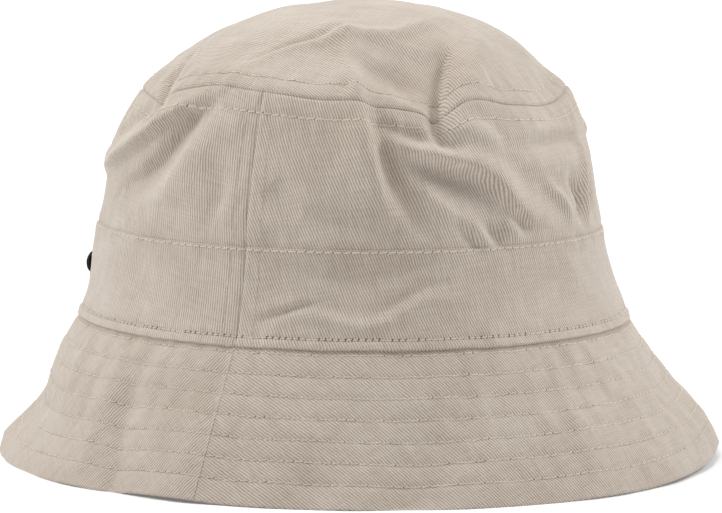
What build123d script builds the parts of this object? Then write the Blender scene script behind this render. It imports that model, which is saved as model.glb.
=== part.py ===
from build123d import *
import math
import os

# Cotton twill bucket hat: every cloth panel, tape, label and row of stitching as its own solid.
#
# Frame: +Z up, the wearer's front towards -Y and left towards +X. The origin is the middle of the
# brim's edge, on the surface that the hat rests on. Millimetres.
#
# The hat is worked out as a round one, from a cross-section in radius and height, and each piece is
# then stretched by the same two factors into the oval of a head. Cloth layers lie LAYER_GAP apart.

# The oval of the head: round radii are multiplied by these along X and Y.
STRETCH_X, STRETCH_Y = 0.96, 1.04

# Cross-section of the outside of the hat, as (radius, height).
BRIM_EDGE_R = 125.6
HEAD_SEAM_Z, BRIM_TOP_R = 49.6, 95.2
BAND_FOOT = (95.9, HEAD_SEAM_Z)
BAND_WAIST = (90.4, 64.0)
BAND_SEAM = (86.9, 81.9)
CROWN_BELLY = (83.4, 104.5)
CROWN_SEAM = (74.2, 129.8)
# The tip is an ellipse about the axis: its centre's height, and its half width and half height.
TIP_CENTRE_Z, TIP_HALF_WIDTH, TIP_HALF_HEIGHT = 100.0, 84.78, 61.6
# The very top of the tip is flat, out to this radius.
TIP_FLAT_R = 2.0
SEAM_Z = CROWN_SEAM[1]

CLOTH, LAYER_GAP = 0.5, 0.1
PITCH = CLOTH + LAYER_GAP
CROWN_ALLOWANCE, BAND_ALLOWANCE, HEAD_ALLOWANCE = 7.0, 6.5, 8.0
TAPE_THICK, TAPE_REACH = 0.45, 8.0
SWEATBAND_INSET = 4 * PITCH
SWEATBAND_TOP = 83.0

# The brim: three layers on the slant, quilted by evenly spaced rows of stitching.
BRIM_SLOPE = math.atan2(BRIM_EDGE_R - BRIM_TOP_R, HEAD_SEAM_Z)
BRIM_CLOTH, BRIM_PITCH = CLOTH / math.cos(BRIM_SLOPE), PITCH / math.cos(BRIM_SLOPE)
BRIM_ROWS, FIRST_ROW, ROW_PITCH = 7, 2.4, 7.75
INTERLINING_FROM, INTERLINING_TO = 2.6, 47.2
BRIM_LIP = 1.0

# Thread lies this far off the cloth, and each topstitched row this far from its seam.
THREAD_R, THREAD_OFF = 0.17, 0.2
CROWN_ROW, SIDE_ROW, BAND_UPPER_ROW, BAND_LOWER_ROW = 6.0, 5.0, 0.8, 2.9

# Labels: width round the hat, height and thickness, and the height of the middle.
FRONT_LABEL, FRONT_LABEL_Z = (60.0, 10.0, 0.6), 66.4
MAIN_LABEL, MAIN_LABEL_Z = (46.0, 16.0, 0.4), 69.0
CARE_LEAF = (28.0, 36.0, 0.4)
SIZE_TAB = (12.0, 13.0, 0.5)
LEAF_CLEAR = 0.5
FRONT, BACK, LEFT, RIGHT = -90.0, 90.0, 0.0, 180.0


class Wall:
    """A steep curve of the cross-section, which insets move straight in towards the axis."""

    def __init__(self, *points):
        self.edge = Spline([(r, 0, z) for r, z in points])

    def along(self, z):
        """How far along the curve a height is, from 0 to 1."""
        low, high = 0.0, 1.0
        for _ in range(40):
            middle = (low + high) / 2
            low, high = (middle, high) if (self.edge @ middle).Z < z else (low, middle)
        return middle

    def radius(self, z, inset=0.0):
        return (self.edge @ self.along(z)).X - inset

    def run(self, inset, low, high):
        return Pos(-inset, 0, 0) * self.edge.trim(self.along(low), self.along(high))


class Dome:
    """The tip's ellipse, which insets shrink on all sides."""

    def angle(self, inset, z):
        return math.asin(min(1.0, (z - TIP_CENTRE_Z) / (TIP_HALF_HEIGHT - inset)))

    def radius(self, z, inset=0.0):
        return (TIP_HALF_WIDTH - inset) * math.cos(self.angle(inset, z))

    def top(self, inset=0.0):
        """The height of the flat at the very top."""
        share = TIP_FLAT_R / (TIP_HALF_WIDTH - inset)
        return TIP_CENTRE_Z + (TIP_HALF_HEIGHT - inset) * math.sqrt(1 - share**2)

    def run(self, inset, low, high):
        start, stop = [math.degrees(self.angle(inset, z)) for z in (low, high)]
        radii = TIP_HALF_WIDTH - inset, TIP_HALF_HEIGHT - inset
        arc = EllipticalCenterArc((0, 0), *radii, start_angle=start, arc_size=stop - start)
        return Plane((0, 0, TIP_CENTRE_Z), x_dir=(1, 0, 0), z_dir=(0, -1, 0)) * arc


# The brim's cross-section runs on below the surface that it is then cut off at.
BRIM_RUN_ON = 2.0
BRIM = Wall(
    (BRIM_EDGE_R + BRIM_RUN_ON * math.tan(BRIM_SLOPE), -BRIM_RUN_ON),
    ((BRIM_EDGE_R + BRIM_TOP_R) / 2, HEAD_SEAM_Z / 2),
    (BRIM_TOP_R, HEAD_SEAM_Z),
)
BAND = Wall(BAND_FOOT, BAND_WAIST, BAND_SEAM)
SIDE = Wall(BAND_SEAM, CROWN_BELLY, CROWN_SEAM)
TIP = Dome()

# The crown seam's tape: how far in its two faces lie on the tip, then on the side panels there.
TIP_TAPE = 2 * PITCH + 2 * THREAD_R + 2 * LAYER_GAP
TIP_TAPE_FACES = TIP_TAPE, TIP_TAPE + TAPE_THICK
SIDE_TAPE_FACES = [CROWN_SEAM[0] - TIP.radius(SEAM_Z, inset) for inset in TIP_TAPE_FACES]


def outline(*path):
    """A closed cross-section: (radius, height) corners, and (curve, inset, from z, to z) runs."""
    edges, ends = [], []
    for step in path:
        if len(step) == 2:
            start = stop = Vector(step[0], 0, step[1])
        else:
            curve, inset, z0, z1 = step
            edge = curve.run(inset, min(z0, z1), max(z0, z1))
            edges.append(edge)
            start, stop = (edge @ 0, edge @ 1) if z0 < z1 else (edge @ 1, edge @ 0)
        ends.append((start, stop))
    for (_, stop), (start, _) in zip(ends, ends[1:] + ends[:1]):
        if (start - stop).length > 1e-6:
            edges.append(Line(stop, start))
    return make_face(edges)


def oval(shape):
    return scale(shape, by=(STRETCH_X, STRETCH_Y, 1.0))


def turned(face, arc=360.0, middle=180.0):
    """A cross-section turned about Z by an arc, centred on an angle from +X, and made oval."""
    return oval(Rot(0, 0, middle - arc / 2) * revolve(face, Axis.Z, revolution_arc=arc))


def write(name, *shapes):
    solids = [s for shape in shapes for s in shape.solids()]
    export_step(solids[0] if len(solids) == 1 else Compound(children=solids), f"parts/{name}.step")


def halves(name, face, cut=False):
    """A ring of cloth in two pieces, front and back, sewn at the wearer's two sides.

    A cut ring stops dead flat at the surface that the hat rests on.
    """
    arc = 180.0 - math.degrees(LAYER_GAP / CROWN_SEAM[0])
    for side, middle in (("front", FRONT), ("back", BACK)):
        panel = turned(face, arc, middle)
        if cut:
            panel -= Pos(0, 0, -BRIM_RUN_ON) * Box(3 * BRIM_EDGE_R, 3 * BRIM_EDGE_R, 2 * BRIM_RUN_ON)
        write(f"{name}_{side}", panel)


def thread(*points, arc=360.0, middle=180.0):
    """A ring of six-sided thread, or an arc of one, for each (radius, height)."""
    strand = RegularPolygon(THREAD_R, 6)
    return [turned(Plane((r, 0, z), z_dir=(0, -1, 0)) * strand, arc, middle) for r, z in points]


def crown():
    """The tip, and the side crown's two panels, each with its seam allowances turned in."""
    foot = SEAM_Z + LAYER_GAP
    tip = outline(
        (TIP, 0, foot, TIP.top()),
        (0.0, TIP.top()),
        (0.0, TIP.top(CLOTH)),
        (TIP, CLOTH, TIP.top(CLOTH), foot + CLOTH),
        (TIP, PITCH, foot + CLOTH, SEAM_Z + CROWN_ALLOWANCE),
        (TIP, PITCH + CLOTH, SEAM_Z + CROWN_ALLOWANCE, foot),
    )
    write("crown_tip", turned(tip))
    seam_r, seam_z = BAND_SEAM
    foot = seam_z + LAYER_GAP
    side = outline(
        (SIDE, 0, foot, SEAM_Z),
        (SIDE, PITCH + CLOTH, SEAM_Z, SEAM_Z - CROWN_ALLOWANCE),
        (SIDE, PITCH, SEAM_Z - CROWN_ALLOWANCE, SEAM_Z - CLOTH),
        (SIDE, CLOTH, SEAM_Z - CLOTH, foot + CLOTH),
        (seam_r - 2 * PITCH - CLOTH, foot + CLOTH),
        (BAND, 2 * PITCH + CLOTH, seam_z, seam_z - BAND_ALLOWANCE),
        (BAND, 2 * PITCH, seam_z - BAND_ALLOWANCE, seam_z),
        (seam_r - 2 * PITCH, foot),
    )
    halves("side_crown", side)


def crown_tapes():
    """The tape over the crown seam, the seam's own thread, and the tapes over the side seams."""
    low, high = SEAM_Z - TAPE_REACH, SEAM_Z + TAPE_REACH * 0.85
    tape = outline(
        (SIDE, SIDE_TAPE_FACES[0], low, SEAM_Z),
        (TIP, TIP_TAPE_FACES[0], SEAM_Z, high),
        (TIP, TIP_TAPE_FACES[1], high, SEAM_Z),
        (SIDE, SIDE_TAPE_FACES[1], SEAM_Z, low),
    )
    write("crown_seam_tape", turned(tape))
    write("crown_seam_thread", *thread((TIP.radius(SEAM_Z, TIP_TAPE) + THREAD_R + LAYER_GAP, SEAM_Z)))
    ends = SWEATBAND_TOP + 1.0, low - 1.0
    upright = outline((SIDE, PITCH, *ends), (SIDE, PITCH + TAPE_THICK, *reversed(ends)))
    arc = math.degrees(2 * CROWN_ROW / CROWN_BELLY[0])
    write("side_seam_tape_left", turned(upright, arc, LEFT))
    write("side_seam_tape_right", turned(upright, arc, RIGHT))


def band():
    """The band's two halves, folded in along both edges, and the sweatband behind them."""
    foot, (seam_r, top) = HEAD_SEAM_Z, BAND_SEAM
    panel = outline(
        (BAND, 0, foot, top),
        (BAND, PITCH + CLOTH, top, top - BAND_ALLOWANCE),
        (BAND, PITCH, top - BAND_ALLOWANCE, top - CLOTH),
        (BAND, CLOTH, top - CLOTH, foot + CLOTH),
        (BAND, PITCH, foot + CLOTH, foot + HEAD_ALLOWANCE),
        (BAND, PITCH + CLOTH, foot + HEAD_ALLOWANCE, foot),
    )
    halves("hat_band", panel)
    outer, inner = SWEATBAND_INSET, SWEATBAND_INSET + CLOTH
    lining = outline(
        (BAND, outer, foot + LAYER_GAP, top),
        (seam_r - outer, SWEATBAND_TOP),
        (seam_r - inner, SWEATBAND_TOP),
        (BAND, inner, top, foot + LAYER_GAP),
    )
    write("sweatband", turned(lining, 360 - math.degrees(LAYER_GAP / CROWN_SEAM[0]), FRONT))
    write("band_seam_thread", *thread((seam_r - outer + THREAD_R + LAYER_GAP, top)))


def brim():
    """Upper brim, interlining and under brim, each in two halves, with their hidden seam threads."""
    top = HEAD_SEAM_Z - LAYER_GAP
    upper_in, under_in = BAND_FOOT[0] - 2 * PITCH, BAND_FOOT[0] - 3 * PITCH
    turn_up = HEAD_SEAM_Z, HEAD_SEAM_Z + HEAD_ALLOWANCE
    upper = outline(
        (BRIM, 0, -1, top),
        (upper_in, top),
        (BAND, 2 * PITCH, *turn_up),
        (BAND, 2 * PITCH + CLOTH, *reversed(turn_up)),
        (upper_in - CLOTH, top - CLOTH),
        (BRIM, BRIM_CLOTH, top - CLOTH, -1),
    )
    halves("brim_upper", upper, cut=True)
    under = outline(
        (BRIM, BRIM_CLOTH + LAYER_GAP, -1, BRIM_LIP),
        (BRIM, 2 * BRIM_PITCH, BRIM_LIP, top - CLOTH),
        (under_in, top - CLOTH),
        (BAND, 3 * PITCH, *turn_up),
        (BAND, 3 * PITCH + CLOTH, *reversed(turn_up)),
        (under_in - CLOTH, top),
        (BRIM, 2 * BRIM_PITCH + BRIM_CLOTH, top, -1),
    )
    halves("brim_under", under, cut=True)
    middle = outline(
        (BRIM, BRIM_PITCH, INTERLINING_FROM, INTERLINING_TO),
        (BRIM, BRIM_PITCH + BRIM_CLOTH, INTERLINING_TO, INTERLINING_FROM),
    )
    halves("brim_interlining", middle)
    edge_z, head_z = (BRIM_LIP + INTERLINING_FROM) / 2, (INTERLINING_TO + top - CLOTH) / 2
    inset = BRIM_PITCH + BRIM_CLOTH / 2
    write("brim_edge_thread", *thread((BRIM.radius(edge_z, inset), edge_z)))
    write("head_seam_thread", *thread((BRIM.radius(head_z, inset), head_z)))


def brim_stitching():
    """One node for each row: the needle thread on the upper brim and the bobbin thread below."""
    off = THREAD_OFF / math.cos(BRIM_SLOPE)
    for row in range(BRIM_ROWS):
        z = HEAD_SEAM_Z - (FIRST_ROW + row * ROW_PITCH) * math.cos(BRIM_SLOPE)
        needle, bobbin = BRIM.radius(z, -off), BRIM.radius(z, 2 * BRIM_PITCH + BRIM_CLOTH + off)
        write(f"brim_stitch_row_{row + 1}", *thread((needle, z), (bobbin, z)))


def row_of_stitching(name, curve, z, inside):
    """A row through a wall of cloth: thread outside it, and again at an inset on the inside."""
    write(name, *thread((curve.radius(z, -THREAD_OFF), z), (curve.radius(z, inside + THREAD_OFF), z)))


def crown_stitching():
    """The rows each side of the crown seam, and the rows along the band's two edges."""
    row_of_stitching("crown_stitch_upper", TIP, SEAM_Z + CROWN_ROW * 0.85, TIP_TAPE_FACES[1])
    row_of_stitching("crown_stitch_lower", SIDE, SEAM_Z - CROWN_ROW, SIDE_TAPE_FACES[1])
    inside = SWEATBAND_INSET + CLOTH
    row_of_stitching("band_stitch_upper", BAND, BAND_SEAM[1] - BAND_UPPER_ROW, inside)
    row_of_stitching("band_stitch_lower", BAND, HEAD_SEAM_Z + BAND_LOWER_ROW, inside)


def upright_thread(curve, inset, low, high, angle):
    """A thread that runs up a wall of cloth."""
    path = curve.run(inset, low, high)
    strand = Plane(path @ 0, z_dir=path % 0) * RegularPolygon(THREAD_R, 6)
    return oval(Rot(0, 0, angle) * sweep(strand, path))


def side_seam_stitching():
    """Rows up both sides of each side seam: on the band, and through the crown and its tape."""
    band_ends = HEAD_SEAM_Z + BAND_LOWER_ROW + 1.0, BAND_SEAM[1] - BAND_UPPER_ROW - 1.0
    crown_ends = SWEATBAND_TOP + 1.5, SEAM_Z - TAPE_REACH - 1.5
    for side, middle in (("left", LEFT), ("right", RIGHT)):
        rows = []
        for turn in (-1, 1):
            angle = middle + turn * math.degrees(SIDE_ROW / CROWN_BELLY[0])
            rows.append(upright_thread(BAND, -THREAD_OFF, *band_ends, angle))
            rows.append(upright_thread(SIDE, -THREAD_OFF, *crown_ends, angle))
            rows.append(upright_thread(SIDE, PITCH + TAPE_THICK + THREAD_OFF, *crown_ends, angle))
        write(f"side_seam_stitches_{side}", *rows)


def wall_label(name, size, z, inset, side):
    """A label sewn flat on a wall of cloth, with a row of thread along each of its long edges."""
    width, height, thick = size
    low, high = z - height / 2, z + height / 2
    arc = math.degrees(width / (BAND.radius(z) * STRETCH_X**2 / STRETCH_Y))
    face = outline((BAND, inset, low, high), (BAND, inset + thick, high, low))
    write(name, turned(face, arc, side))
    off = -THREAD_OFF if inset < 0 else thick + THREAD_OFF
    rows = [(BAND.radius(row_z, inset + off), row_z) for row_z in (low + 1.0, high - 1.0)]
    write(f"{name}_stitches", *thread(*rows, arc=arc * 0.96, middle=side))


def leaf(name, size, top, side):
    """A label that hangs from its top edge, flat, clear of the sweatband behind it."""
    width, height, thick = size
    wall = BAND.radius(top, SWEATBAND_INSET + CLOTH)
    out, across = (STRETCH_X, STRETCH_Y) if side == LEFT else (STRETCH_Y, STRETCH_X)
    x = out * math.sqrt(wall**2 - (width / 2 / across) ** 2) - LEAF_CLEAR - thick / 2
    write(name, Rot(0, 0, side) * Pos(x, 0, top - height / 2) * Box(thick, width, height))
    print(f"{name} hangs {x:.2f} mm from the axis, from z {top:.2f}")


def labels():
    wall_label("front_label", FRONT_LABEL, FRONT_LABEL_Z, -FRONT_LABEL[2] - LAYER_GAP, FRONT)
    wall_label("main_label", MAIN_LABEL, MAIN_LABEL_Z, SWEATBAND_INSET + PITCH, BACK)
    leaf("care_label", CARE_LEAF, BAND_SEAM[1] - 2.0, LEFT)
    leaf("size_tab", SIZE_TAB, MAIN_LABEL_Z - MAIN_LABEL[1] / 2 - LAYER_GAP, BACK)


os.makedirs("parts", exist_ok=True)
crown()
crown_tapes()
band()
brim()
brim_stitching()
crown_stitching()
side_seam_stitching()
labels()
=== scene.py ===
"""Looks of a cotton twill bucket hat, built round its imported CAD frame.

Everything is first worked out on a round, smooth hat in millimetres: a cross-section of (radius, height)
turned about Z. deform() then gives every point of every layer the same folds, puckers, lean and oval, so
cloth, tape, thread and labels stay on each other. Azimuths are in degrees from +X, the wearer's left.
"""

import math

import bpy
import numpy as np
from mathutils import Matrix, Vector


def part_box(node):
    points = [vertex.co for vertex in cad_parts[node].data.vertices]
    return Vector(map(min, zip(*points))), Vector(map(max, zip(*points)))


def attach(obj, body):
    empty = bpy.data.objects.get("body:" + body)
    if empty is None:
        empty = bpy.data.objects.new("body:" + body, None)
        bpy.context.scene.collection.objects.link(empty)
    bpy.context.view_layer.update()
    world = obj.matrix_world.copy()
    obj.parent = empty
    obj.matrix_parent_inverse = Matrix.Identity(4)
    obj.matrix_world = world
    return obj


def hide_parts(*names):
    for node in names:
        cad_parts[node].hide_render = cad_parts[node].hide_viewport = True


MM = 0.001
STRETCH_X, STRETCH_Y = 0.96, 1.04

# The cross-section of the cloth's outside, and its layers, as in the CAD.
RIM_R = 125.6
HEAD_Z, BRIM_TOP_R = 49.6, 95.2
BAND_FOOT, BAND_WAIST, BAND_SEAM = (95.9, HEAD_Z), (90.4, 64.0), (86.9, 81.9)
CROWN_BELLY, CROWN_SEAM = (83.4, 104.5), (74.2, 129.8)
TIP_CENTRE_Z, TIP_HALF_WIDTH, TIP_HALF_HEIGHT = 100.0, 84.78, 61.6
TOP_Z = TIP_CENTRE_Z + TIP_HALF_HEIGHT
BAND_Z, CROWN_Z = BAND_SEAM[1], CROWN_SEAM[1]
CLOTH, PITCH, TAPE = 0.5, 0.6, 0.45
# The brim's two sheets are folded in at this height, and its lowest thread runs above that.
LIP, EDGE_THREAD_Z = 0.3, 1.8
CROWN_ALLOWANCE, BAND_ALLOWANCE, HEAD_ALLOWANCE, TAPE_REACH = 7.0, 6.5, 8.0, 8.0
SWEATBAND_INSET, SWEATBAND_TOP = 2.4, 83.0
BRIM_SLOPE = math.atan2(RIM_R - BRIM_TOP_R, HEAD_Z)
BRIM_CLOTH, BRIM_PITCH = CLOTH / math.cos(BRIM_SLOPE), PITCH / math.cos(BRIM_SLOPE)
BRIM_ROWS, FIRST_ROW, ROW_PITCH = 7, 2.4, 7.75
CROWN_ROW, SIDE_ROW, BAND_UPPER_ROW, BAND_LOWER_ROW = 6.0, 5.0, 0.8, 2.9
INTERLINING_FROM, INTERLINING_TO = 2.6, 47.2
SIDE_TAPE_WIDTH, SIDE_TAPE_LENGTH = 12.0, 40.0

# Labels, as (width, height, thickness), and the heights of the middles of the two on the wall.
FRONT_LABEL, FRONT_LABEL_Z = (60.0, 10.0, 0.6), 66.4
MAIN_LABEL, MAIN_LABEL_Z = (46.0, 16.0, 0.4), 69.0
CARE_LEAF, SIZE_TAB = (28.0, 36.0, 0.4), (12.0, 13.0, 0.5)

# Thread: its stitch length and the radius of the dark lens of painted shade at a needle hole, in most
# rows and at the band's foot.
STITCH, HOLE = 3.0, 0.28
FOOT_STITCH, FOOT_HOLE = 2.2, 0.62
THREAD_R = 0.17
# Finer rows, as (thickness, how proud the thread stands, radius of the painted shade at a hole).
SIDE_SEAM_ROW, LABEL_ROW = (0.12, 0.04, 0.12), (0.16, 0.1, 0.2)

# Twill, in metres: from ridge to ridge, their height, and how far the yarn strays from its line.
TWILL_PERIOD, TWILL_DEPTH, YARN_STRAY, CLOTH_STRAY = 0.00092, 0.00009, 0.0006, 0.0009

# Turned sheets have this many columns of faces in a full turn, and the tip this many rings.
COLUMNS, TIP_RINGS = 800, 100

# The camera, in metres: its turn from the wearer's front, distance and height, and where it aims.
CAMERA_TURN, CAMERA_AWAY, CAMERA_HEIGHT = 116, 1.4, 0.240
AIM_RIGHT, AIM_HEIGHT = 0.0027, 0.0696
FOCAL_LENGTH, SENSOR_WIDTH = 196.6, 36.0

# The white surround is this bright behind the hat and on the camera's side of it.
WORLD_FAR, WORLD_NEAR = 1.0, 0.25
# Lamps, in metres: how far right and towards the camera, height, size, and then watts.
LAMPS = {
    "lamp_left": (-1.15, 0.0, 1.0, 0.5, 9),
    "lamp_right": (1.15, 0.0, 1.0, 0.5, 8),
    "lamp_top": (0.0, 0.35, 1.4, 0.7, 7),
}
LAMP_AIM_HEIGHT = 0.08
# The floor reaches this far each way.
FLOOR = 40

FRONT, BACK, LEFT, RIGHT = -90.0, 90.0, 0.0, 180.0
HEXAGON = np.linspace(0, 2 * math.pi, 6, endpoint=False)
rng = np.random.default_rng(7)


def unit(vectors):
    return vectors / np.linalg.norm(vectors, axis=-1, keepdims=True)


def corners(grid):
    """The four corners of every cell of a grid of numbers or points."""
    return np.stack([grid[:-1, :-1], grid[1:, :-1], grid[1:, 1:], grid[:-1, 1:]], 2)


def face(thing, target):
    """Turn a camera or a lamp towards a point."""
    thing.rotation_mode = "QUATERNION"
    thing.rotation_quaternion = (target - thing.location).to_track_quat("-Z", "Y")


def right_of(away):
    """To the right, as seen from that side of the hat."""
    return Vector((-away.y, away.x, 0))


def add_camera():
    """The photographer's place: behind the wearer's left shoulder, a little above the crown."""
    data = bpy.data.cameras.new("camera")
    data.lens, data.sensor_width = FOCAL_LENGTH, SENSOR_WIDTH
    data.clip_start, data.clip_end = 0.05, 20
    camera = bpy.data.objects.new("camera", data)
    bpy.context.scene.collection.objects.link(camera)
    turn = math.radians(CAMERA_TURN)
    away = Vector((math.sin(turn), -math.cos(turn), 0))
    camera.location = away * CAMERA_AWAY + Vector((0, 0, CAMERA_HEIGHT))
    face(camera, right_of(away) * AIM_RIGHT + Vector((0, 0, AIM_HEIGHT)))
    bpy.context.scene.camera = camera


# ---- the round, smooth hat


class Wall:
    """A steep curve of the cross-section through three points; insets move it towards the axis."""

    def __init__(self, *points):
        radii, heights = zip(*points)
        self.poly = np.polyfit(heights, radii, 2)

    def radius(self, z, inset=0.0):
        return np.polyval(self.poly, z) - inset

    def points(self, inset, z0, z1, step):
        z = np.linspace(z0, z1, max(2, math.ceil(abs(z1 - z0) / step) + 1))
        return np.stack([self.radius(z, inset), z], 1)


class Dome:
    """The tip's ellipse; insets shrink it on all sides."""

    def angle(self, z, inset=0.0):
        return np.arcsin(np.clip((z - TIP_CENTRE_Z) / (TIP_HALF_HEIGHT - inset), -1.0, 1.0))

    def radius(self, z, inset=0.0):
        return (TIP_HALF_WIDTH - inset) * np.cos(self.angle(z, inset))

    def at(self, angle, inset=0.0):
        r = (TIP_HALF_WIDTH - inset) * np.cos(angle)
        return np.stack([r, TIP_CENTRE_Z + (TIP_HALF_HEIGHT - inset) * np.sin(angle)], -1)

    def points(self, inset, z0, z1, step):
        a0, a1 = self.angle(z0, inset), self.angle(z1, inset)
        count = max(2, math.ceil(abs(a1 - a0) * TIP_HALF_HEIGHT / step) + 1)
        return self.at(np.linspace(a0, a1, count), inset)


BRIM = Wall((RIM_R, 0), ((RIM_R + BRIM_TOP_R) / 2, HEAD_Z / 2), (BRIM_TOP_R, HEAD_Z))
BAND = Wall(BAND_FOOT, BAND_WAIST, BAND_SEAM)
SIDE = Wall(BAND_SEAM, CROWN_BELLY, CROWN_SEAM)
TIP = Dome()
TIP_TAPE = 2 * PITCH + 0.54
TIP_TAPE_FACES = TIP_TAPE, TIP_TAPE + TAPE
SIDE_TAPE_FACES = [CROWN_SEAM[0] - float(TIP.radius(CROWN_Z, inset)) for inset in TIP_TAPE_FACES]


def surface_radius(z):
    """The radius of the hat's outside at a height."""
    z = np.asarray(z, float)
    walls = [BRIM.radius(z), BAND.radius(z), SIDE.radius(z)]
    return np.select([z < HEAD_Z, z < BAND_Z, z < CROWN_Z], walls, TIP.radius(np.minimum(z, TOP_Z)))


def spun(r, z, a):
    """Points at those radii, heights and angles about Z."""
    return np.stack(np.broadcast_arrays(r * np.cos(a), r * np.sin(a), z), -1)


def on_surface(azimuth, z):
    return spun(surface_radius(z), z, np.radians(azimuth))


# How far the outside leans from upright at these heights, in degrees. From TIP_FROM up, the tip's
# own ellipse takes over.
LEAN_HEIGHTS = [0, HEAD_Z - 3, HEAD_Z + 5, BAND_Z, 104, 120]
LEAN_ANGLES = [31.5, 31.5, 18, 10, 13, 20]
TIP_FROM, TIP_BLEND = 118, 18


def outward(p):
    """Unit vectors square to the smooth hat's outside, near each point."""
    r = np.hypot(p[:, 0], p[:, 1])
    low = np.radians(np.interp(p[:, 2], LEAN_HEIGHTS, LEAN_ANGLES))
    high = np.arctan2((p[:, 2] - TIP_CENTRE_Z) / TIP_HALF_HEIGHT**2, r / TIP_HALF_WIDTH**2)
    share = np.clip((p[:, 2] - TIP_FROM) / TIP_BLEND, 0, 1)
    tilt = low + (high - low) * share * share * (3 - 2 * share)
    flat = np.cos(tilt) / np.maximum(r, 1e-6)
    return np.stack([p[:, 0] * flat, p[:, 1] * flat, np.sin(tilt)], 1)


# ---- folds and puckers


def wobble(p, size, waves=10, seed=0):
    """A smooth random value at each point, about -1 to 1, with features of about that size."""
    dice = np.random.default_rng(seed)
    way = dice.normal(size=(waves, 3))
    way = unit(way) * math.pi / size
    return np.sin(p @ way.T + dice.uniform(0, 6.28, waves)).sum(1) / math.sqrt(waves / 2) / 1.6


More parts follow.
